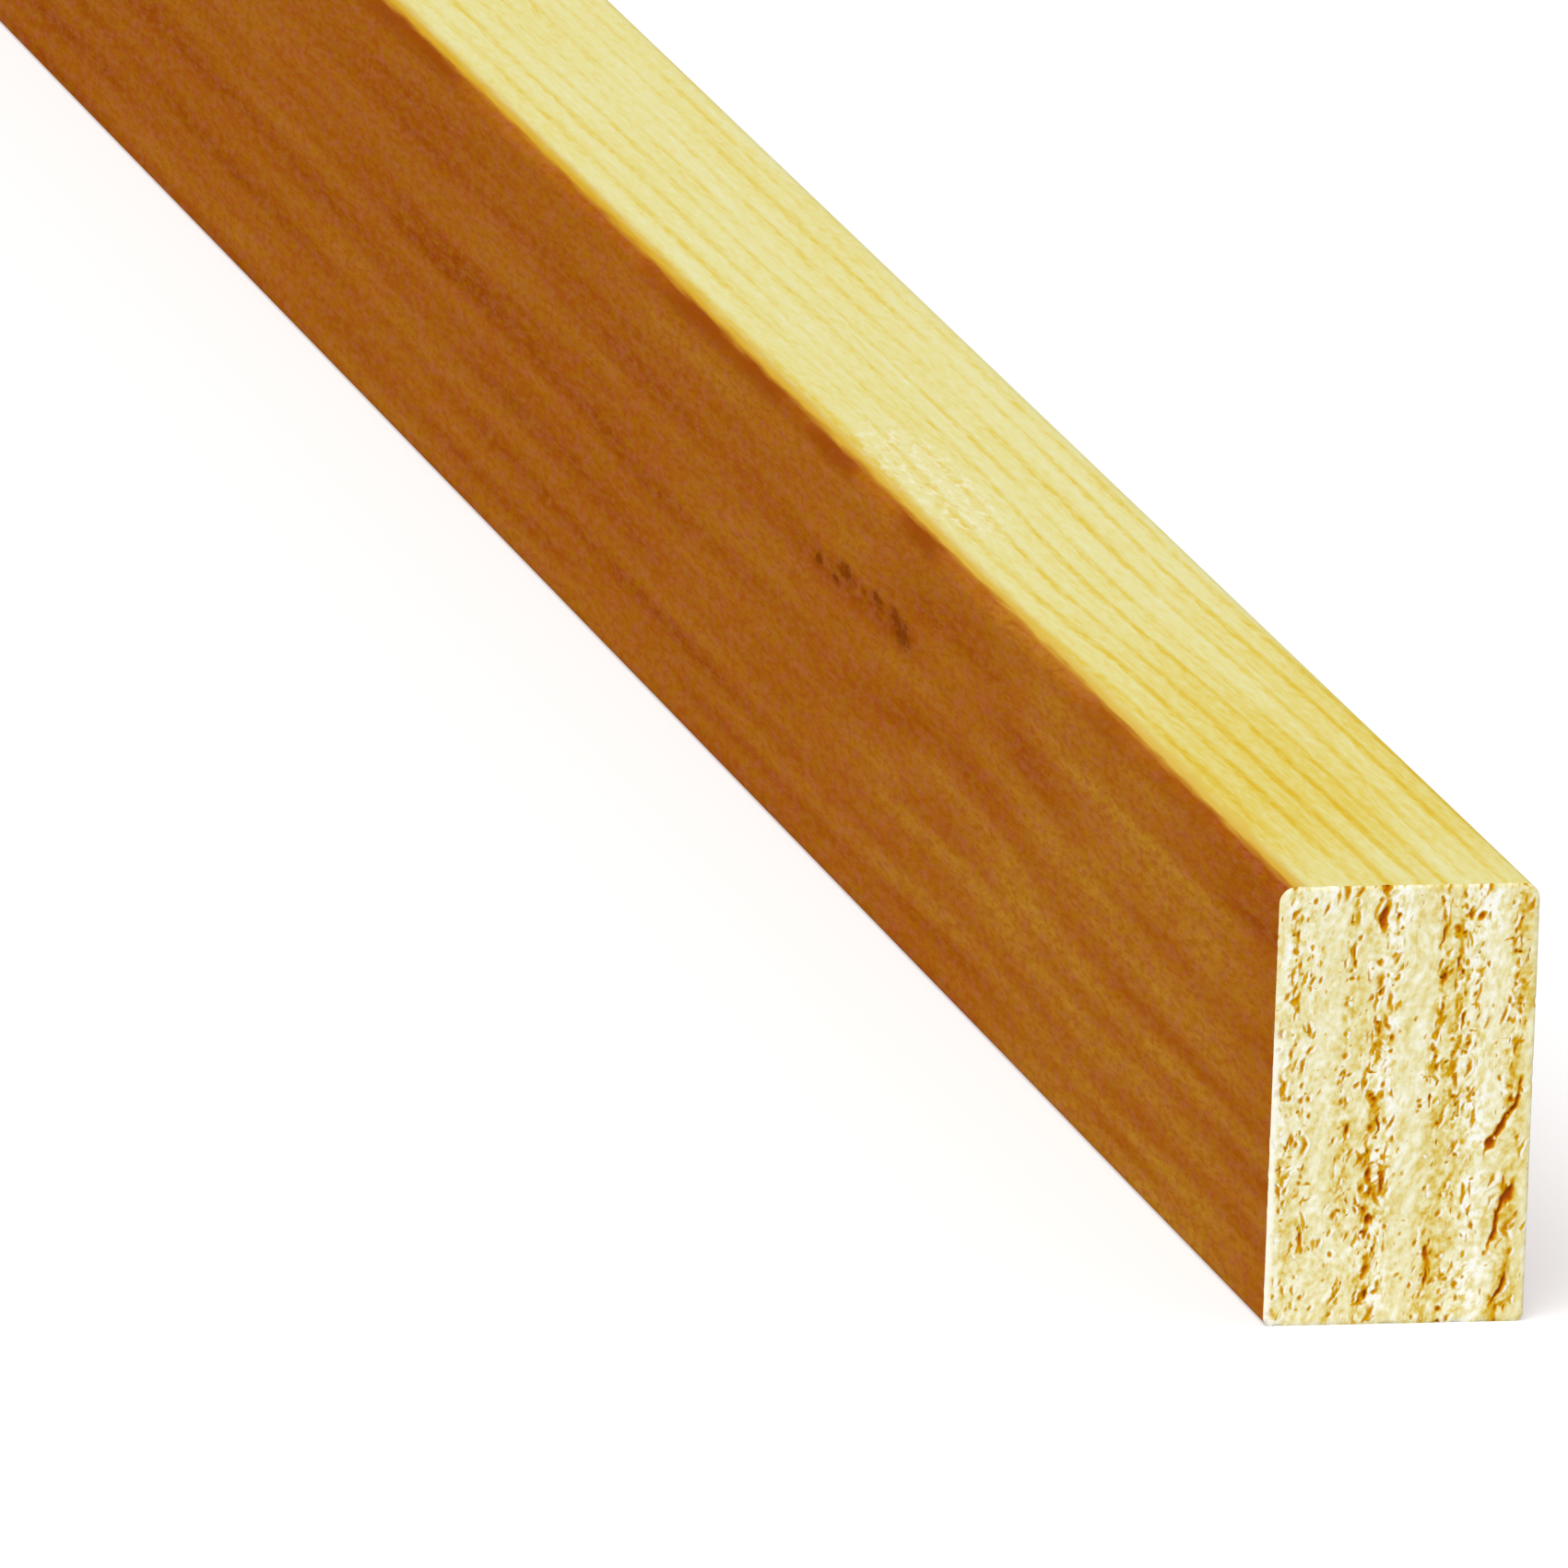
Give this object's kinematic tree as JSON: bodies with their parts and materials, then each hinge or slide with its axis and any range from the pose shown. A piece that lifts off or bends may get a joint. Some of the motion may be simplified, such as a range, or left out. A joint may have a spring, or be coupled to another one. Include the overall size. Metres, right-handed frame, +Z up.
{
  "type": "timber plank",
  "caption": "Straight length of dressed softwood timber, rectangular section with eased long arrises and square sawn ends, for framing and battening.",
  "frame": {"origin": "middle of the narrow lower edge that the plank lies on", "axes": "+X along the length and the grain, +Y across the thickness, +Z up across the depth"},
  "size_m": [2.438, 0.038, 0.064],
  "materials": {
    "timber": "dressed and unfinished, brown broad faces, pale narrow edges and sawn ends"
  },
  "bodies": {
    "root": {"plank": "timber"}
  },
  "joints": []
}
